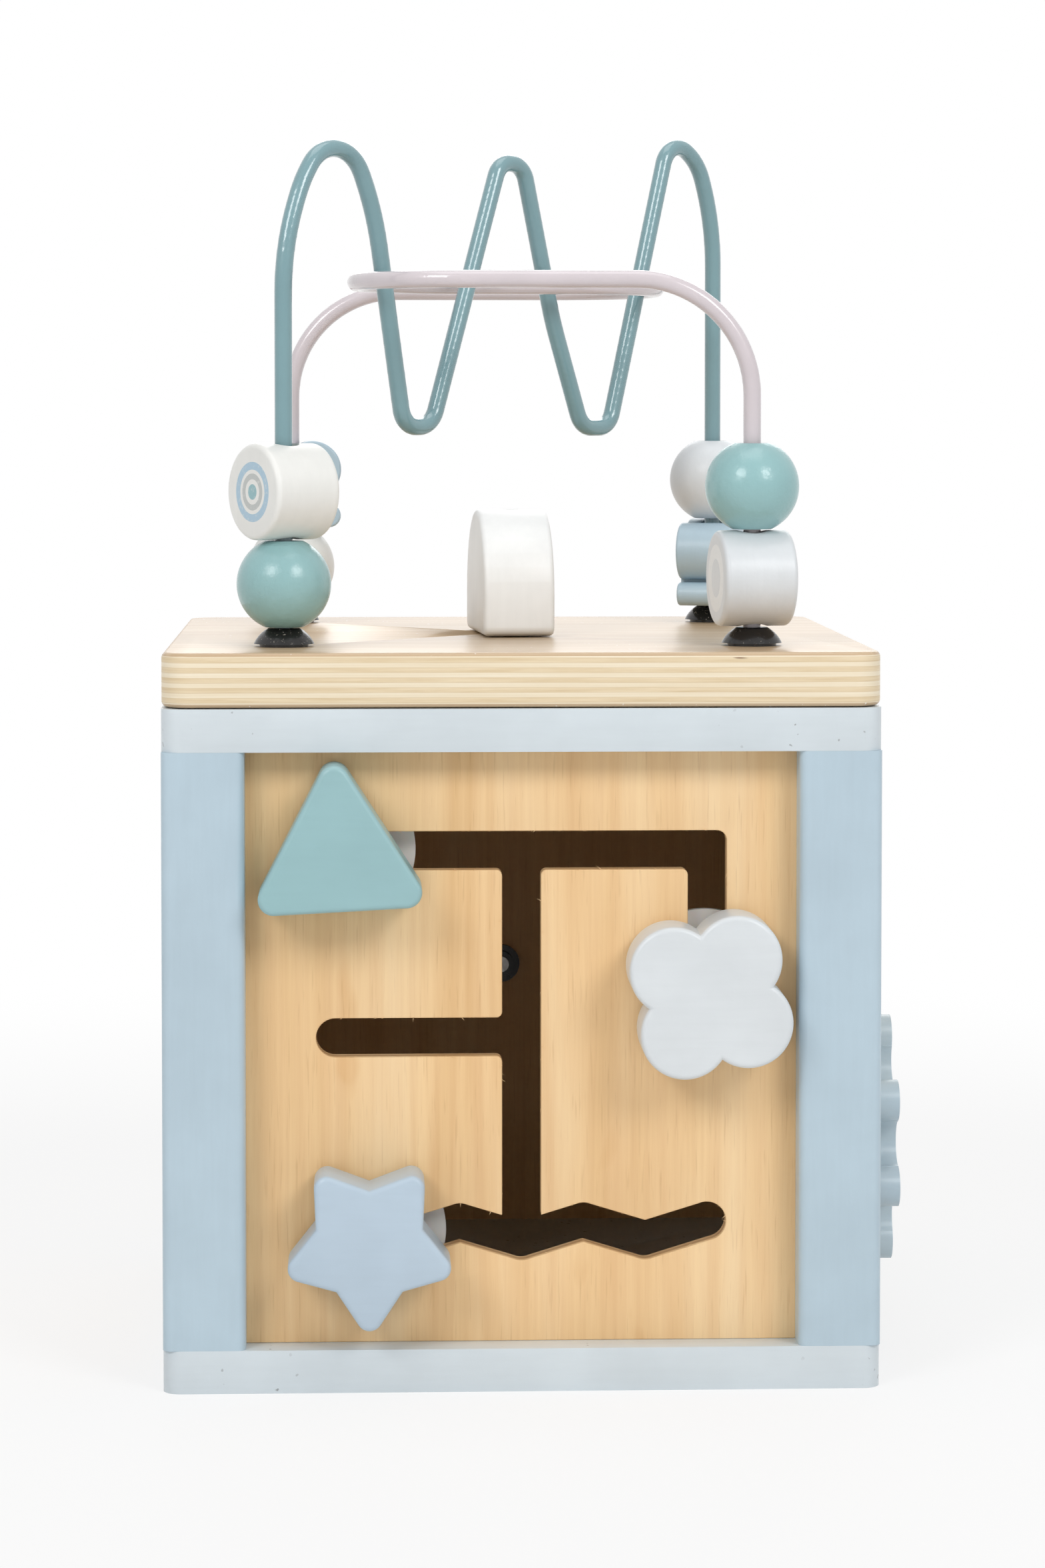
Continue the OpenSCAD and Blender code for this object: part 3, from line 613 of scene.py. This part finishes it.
def grow(name, tree, values, start=None):
    """Runs a tree on a starting mesh and returns the result as a plain mesh object."""
    holder = bpy.data.objects.new(name, start or bpy.data.meshes.new(name + "_start"))
    bpy.context.scene.collection.objects.link(holder)
    modifier = holder.modifiers.new(tree.name, "NODES")
    modifier.node_group = tree
    for item in tree.interface.items_tree:
        if item.item_type == "SOCKET" and item.in_out == "INPUT" and item.name in values:
            modifier[item.identifier] = values[item.name]
    scene_now = bpy.context.evaluated_depsgraph_get()
    mesh = bpy.data.meshes.new_from_object(holder.evaluated_get(scene_now), depsgraph=scene_now)
    holder.modifiers.remove(modifier)
    holder.data = mesh
    return holder


def join(tree, *pairs):
    for out, into in pairs:
        tree.links.new(out, into)


print("tree helpers ready")

# %% Hour dots
HOUR_RING = 66 * MM
HOUR_DOT = 2.2 * MM
HOUR_FILM = 0.12 * MM
HOURS = 12
DOT_SIDES = 32
QUARTER_STEP = 3
QUARTER_SIZE = 1.7


def hour_tree():
    tree, given, result = new_tree("hour_dots", {
        "Ring": ("NodeSocketFloat", HOUR_RING),
        "Dot": ("NodeSocketFloat", HOUR_DOT),
        "Film": ("NodeSocketFloat", HOUR_FILM),
        "Paint": ("NodeSocketMaterial", None),
    })
    new = tree.nodes.new
    ring = new("GeometryNodeMeshCircle")
    ring.inputs["Vertices"].default_value = HOURS
    dot = new("GeometryNodeMeshCylinder")
    dot.inputs["Vertices"].default_value = DOT_SIDES
    number = new("GeometryNodeInputIndex")
    rest = new("ShaderNodeMath")
    rest.operation = "MODULO"
    rest.inputs[1].default_value = QUARTER_STEP
    quarter = new("FunctionNodeCompare")
    quarter.data_type = "INT"
    quarter.operation = "EQUAL"
    size = new("GeometryNodeSwitch")
    size.input_type = "FLOAT"
    size.inputs["False"].default_value = 1.0
    size.inputs["True"].default_value = QUARTER_SIZE
    lay = new("GeometryNodeInstanceOnPoints")
    real = new("GeometryNodeRealizeInstances")
    coat = new("GeometryNodeSetMaterial")
    join(tree,
         (given.outputs["Ring"], ring.inputs["Radius"]),
         (given.outputs["Dot"], dot.inputs["Radius"]),
         (given.outputs["Film"], dot.inputs["Depth"]),
         (number.outputs[0], rest.inputs[0]),
         (rest.outputs[0], quarter.inputs[2]),
         (quarter.outputs[0], size.inputs["Switch"]),
         (ring.outputs["Mesh"], lay.inputs["Points"]),
         (dot.outputs["Mesh"], lay.inputs["Instance"]),
         (size.outputs[0], lay.inputs["Scale"]),
         (lay.outputs[0], real.inputs[0]),
         (real.outputs[0], coat.inputs["Geometry"]),
         (given.outputs["Paint"], coat.inputs["Material"]),
         (coat.outputs[0], result.inputs[0]))
    return tree


def stand_on_back(piece):
    """Turns a flat ring drawn in XY to lie on the back panel, around the clock's bolt."""
    low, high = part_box("clock_bolt")
    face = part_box("panel_back")[1].y
    middle = (low + high) / 2
    upright = Matrix.Rotation(math.radians(90), 4, "X")
    piece.data.transform(Matrix.Translation((middle.x, face, middle.z)) @ upright)
    piece.data.update()


hours = grow("hour_dots", hour_tree(), {"Ring": HOUR_RING, "Dot": HOUR_DOT, "Film": HOUR_FILM,
                                        "Paint": finishes["hand_blue"]})
stand_on_back(hours)
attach(hours, "box")
print("hour dots", len(hours.data.polygons), "faces")

# %% [markdown]
# ## Torn fibres along the slots
# A router leaves a few pale hairs of veneer along the slots' edges. They follow a path and vary at
# random, so a second tree takes the slots' own front edges, walks along them, keeps a share of the
# points and puts a thin bent splinter on each. The seed is fixed, so that the same hairs come back
# each time. No hair grows where the star slides, and each is pressed flat so that it clears the knobs.

# %% Slot edges from the panel
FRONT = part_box("panel_front")[0].y
SLOT_REACH = 62 * MM
STAR_SIDE = -25 * MM
STAR_TOP = 58 * MM
CORNER = math.radians(60)


def slot_edges():
    """The slots' front edges, as a mesh of bare edges, apart from the stretch where the star slides."""
    shape = bmesh.new()
    shape.from_mesh(nodes["panel_front"].data)
    bmesh.ops.remove_doubles(shape, verts=shape.verts, dist=WELD)
    kept = [e for e in shape.edges
            if all(abs(v.co.y - FRONT) < WELD and abs(v.co.x) < SLOT_REACH for v in e.verts)
            and not any(v.co.x < STAR_SIDE and v.co.z < STAR_TOP for v in e.verts)
            and e.is_manifold and e.calc_face_angle() > CORNER]
    shape.verts.index_update()
    held = {v.index: v.co.copy() for e in kept for v in e.verts}
    spots = {index: i for i, index in enumerate(sorted(held))}
    mesh = bpy.data.meshes.new("slot_edges")
    mesh.from_pydata([held[i] for i in sorted(held)], [[spots[v.index] for v in e.verts] for e in kept], [])
    shape.free()
    return mesh


print("slot front face at", round(FRONT / MM, 1), "mm")

# %% Fibre tree
FIBRE_STEP = 0.8 * MM
FIBRE_LONG = 2.0 * MM
FIBRE_THIN = 0.09 * MM
FIBRE_SHARE = 0.16
FIBRE_SEED = 7
FIBRE_RISE = 0.5 * MM
FIBRE_SIDES = 5
FIBRE_LEAN = ((0.6, -3.1, -0.5), (1.5, 3.1, 0.5))
FIBRE_SCALE = (0.35, 1.2)


def fibre_tree():
    tree, given, result = new_tree("slot_fibres", {
        "Step": ("NodeSocketFloat", FIBRE_STEP),
        "Length": ("NodeSocketFloat", FIBRE_LONG),
        "Thickness": ("NodeSocketFloat", FIBRE_THIN),
        "Share": ("NodeSocketFloat", FIBRE_SHARE),
        "Seed": ("NodeSocketInt", FIBRE_SEED),
        "Wood": ("NodeSocketMaterial", None),
    })
    new = tree.nodes.new
    path = new("GeometryNodeMeshToCurve")
    walk = new("GeometryNodeResampleCurve")
    walk.mode = "LENGTH"
    splinter = new("GeometryNodeMeshCone")
    splinter.inputs["Vertices"].default_value = FIBRE_SIDES
    keep = new("FunctionNodeRandomValue")
    keep.data_type = "BOOLEAN"
    lean = new("FunctionNodeRandomValue")
    lean.data_type = "FLOAT_VECTOR"
    lean.inputs[0].default_value, lean.inputs[1].default_value = FIBRE_LEAN
    length = new("FunctionNodeRandomValue")
    length.data_type = "FLOAT"
    length.inputs[2].default_value, length.inputs[3].default_value = FIBRE_SCALE
    lay = new("GeometryNodeInstanceOnPoints")
    real = new("GeometryNodeRealizeInstances")
    coat = new("GeometryNodeSetMaterial")
    join(tree,
         (given.outputs["Geometry"], path.inputs["Mesh"]),
         (path.outputs[0], walk.inputs["Curve"]),
         (given.outputs["Step"], walk.inputs["Length"]),
         (given.outputs["Thickness"], splinter.inputs["Radius Bottom"]),
         (given.outputs["Length"], splinter.inputs["Depth"]),
         (given.outputs["Share"], keep.inputs["Probability"]),
         (given.outputs["Seed"], keep.inputs["Seed"]),
         (given.outputs["Seed"], lean.inputs["Seed"]),
         (given.outputs["Seed"], length.inputs["Seed"]),
         (walk.outputs[0], lay.inputs["Points"]),
         (keep.outputs[3], lay.inputs["Selection"]),
         (splinter.outputs["Mesh"], lay.inputs["Instance"]),
         (lean.outputs[0], lay.inputs["Rotation"]),
         (length.outputs[1], lay.inputs["Scale"]),
         (lay.outputs[0], real.inputs[0]),
         (real.outputs[0], coat.inputs["Geometry"]),
         (given.outputs["Wood"], coat.inputs["Material"]),
         (coat.outputs[0], result.inputs[0]))
    return tree


fibres = grow("slot_fibres", fibre_tree(), {
    "Step": FIBRE_STEP, "Length": FIBRE_LONG, "Thickness": FIBRE_THIN,
    "Share": FIBRE_SHARE, "Seed": FIBRE_SEED, "Wood": finishes["front_back"]}, slot_edges())
for vertex in fibres.data.vertices:
    vertex.co.y = max(vertex.co.y, FRONT - FIBRE_RISE)
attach(fibres, "box")
print("slot fibres", len(fibres.data.polygons), "faces")

# %% [markdown]
# ## Studio
# The picture has a pure white ground and soft light from both sides and from above. The floor and the
# world look white to the camera and to reflections, but they light the cube at a plain level. The
# floor only mixes in part of that white, so that the shadow under the base stays.

# %% Floor and world
FLOOR_SIZE = 12
FLOOR_GLOW = 0.76
SHADOW_NEAR = 0.30
SHADOW_FAR = 0.75
WORLD_LIGHT = 0.37


def seen_directly(tree):
    """A value that is 1 for what the camera, a reflection or a clear material sees, and 0 for light."""
    rays = tree.nodes.new("ShaderNodeLightPath")
    total = rays.outputs["Is Camera Ray"]
    for name in ("Is Glossy Ray", "Is Transmission Ray"):
        add = tree.nodes.new("ShaderNodeMath")
        add.operation = "MAXIMUM"
        tree.links.new(total, add.inputs[0])
        tree.links.new(rays.outputs[name], add.inputs[1])
        total = add.outputs[0]
    return total


def white_floor():
    mesh = bpy.data.meshes.new("floor")
    half = FLOOR_SIZE / 2
    corners = [(-half, -half, 0), (half, -half, 0), (half, half, 0), (-half, half, 0)]
    mesh.from_pydata(corners, [], [(0, 1, 2, 3)])
    floor = bpy.data.objects.new("floor", mesh)
    bpy.context.scene.collection.objects.link(floor)
    f = Finish("floor_white")
    f.shader.inputs["Base Color"].default_value = grey(0.86)
    f.shader.inputs["Roughness"].default_value = 0.9
    glow = f.node("ShaderNodeEmission")
    away = f.node("ShaderNodeVectorMath", operation="LENGTH")
    f.feed(away.inputs[0], f.place)
    spread = f.node("ShaderNodeMapRange", interpolation_type="SMOOTHSTEP")
    f.feed(spread.inputs["Value"], away.outputs["Value"])
    for label, value in (("From Min", SHADOW_NEAR), ("From Max", SHADOW_FAR), ("To Min", FLOOR_GLOW)):
        spread.inputs[label].default_value = value
    share = f.math("MULTIPLY", seen_directly(f.tree), spread.outputs["Result"])
    blend = f.node("ShaderNodeMixShader")
    join(f.tree,
         (share, blend.inputs[0]),
         (f.shader.outputs[0], blend.inputs[1]),
         (glow.outputs[0], blend.inputs[2]),
         (blend.outputs[0], f.tree.nodes["Material Output"].inputs["Surface"]))
    mesh.materials.append(f.material)
    return floor


def white_world(strength):
    world = bpy.data.worlds.new("studio")
    world.use_nodes = True
    tree = world.node_tree
    plain = tree.nodes["Background"]
    plain.inputs["Color"].default_value = grey(1)
    plain.inputs["Strength"].default_value = strength
    seen = tree.nodes.new("ShaderNodeBackground")
    blend = tree.nodes.new("ShaderNodeMixShader")
    join(tree,
         (seen_directly(tree), blend.inputs[0]),
         (plain.outputs[0], blend.inputs[1]),
         (seen.outputs[0], blend.inputs[2]),
         (blend.outputs[0], tree.nodes["World Output"].inputs["Surface"]))
    seen.inputs["Color"].default_value = grey(1)
    bpy.context.scene.world = world
    return world


white_floor()
white_world(WORLD_LIGHT)
print("floor and world ready")

# %% [markdown]
# Four soft lamps do the rest. The two in front stand at the same height on both sides, which gives each
# ball its pair of highlights. The one above lifts the lid, and the one behind draws a light rim.

# %% Lamps
AIM = Vector((0, 0, 0.17))
lamps = {
    "left_softbox": ((-1.15, -1.64, 1.45), 0.8, 15.2),
    "right_softbox": ((1.15, -1.64, 1.45), 0.8, 16.4),
    "top_softbox": ((0.0, -0.1, 1.9), 1.2, 6.5),
    "back_softbox": ((0.2, 1.8, 1.2), 1.2, 8),
}


def softbox(name, at, width, watts):
    data = bpy.data.lights.new(name, "AREA")
    data.size = width
    data.energy = watts
    lamp = bpy.data.objects.new(name, data)
    lamp.location = at
    lamp.rotation_euler = (AIM - Vector(at)).to_track_quat("-Z", "Y").to_euler()
    bpy.context.scene.collection.objects.link(lamp)


for name, (at, width, watts) in lamps.items():
    softbox(name, at, width, watts)
bpy.context.scene.view_settings.view_transform = "Standard"
print("lamps", len(lamps))
